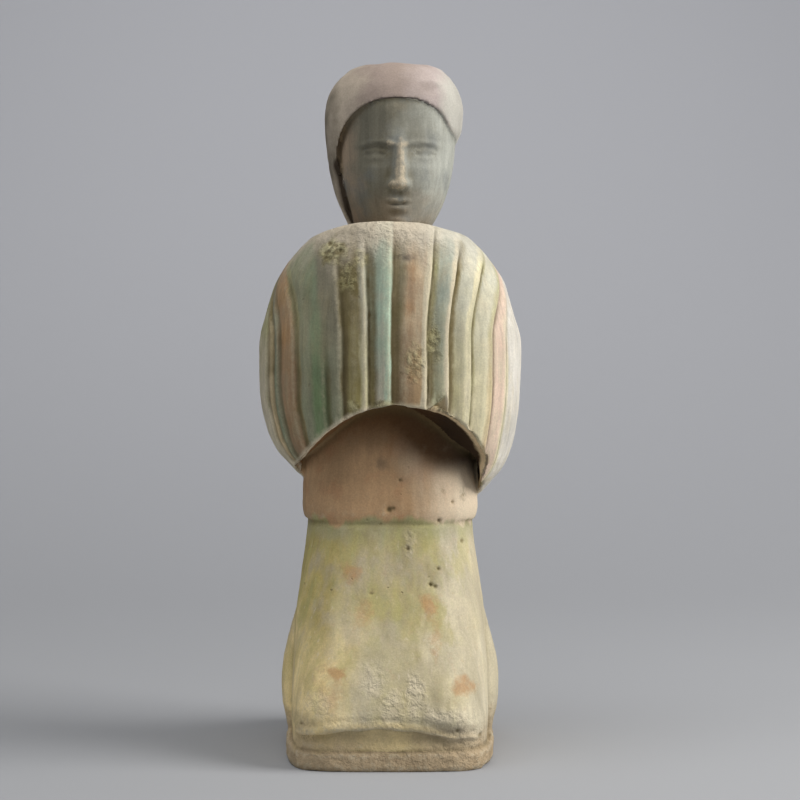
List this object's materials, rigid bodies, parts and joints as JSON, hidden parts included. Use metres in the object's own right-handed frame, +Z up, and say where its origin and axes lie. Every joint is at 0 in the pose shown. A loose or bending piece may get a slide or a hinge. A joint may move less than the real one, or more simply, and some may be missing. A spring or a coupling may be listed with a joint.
{
  "type": "kneeling pottery figurine",
  "caption": "Kneeling figurine of painted earthenware with a hooded head, hands raised inside wide pleated sleeves, and a long robe over a low slab.",
  "frame": {"origin": "on the ground, under the middle of the figurine's overall box", "axes": "+Z up, the figure faces -Y, and +X points to its left hand"},
  "size_m": [0.1336, 0.1512, 0.35],
  "materials": {
    "clay": "matte"
  },
  "bodies": {
    "root": {"kneeling_figurine": "clay"}
  },
  "joints": []
}
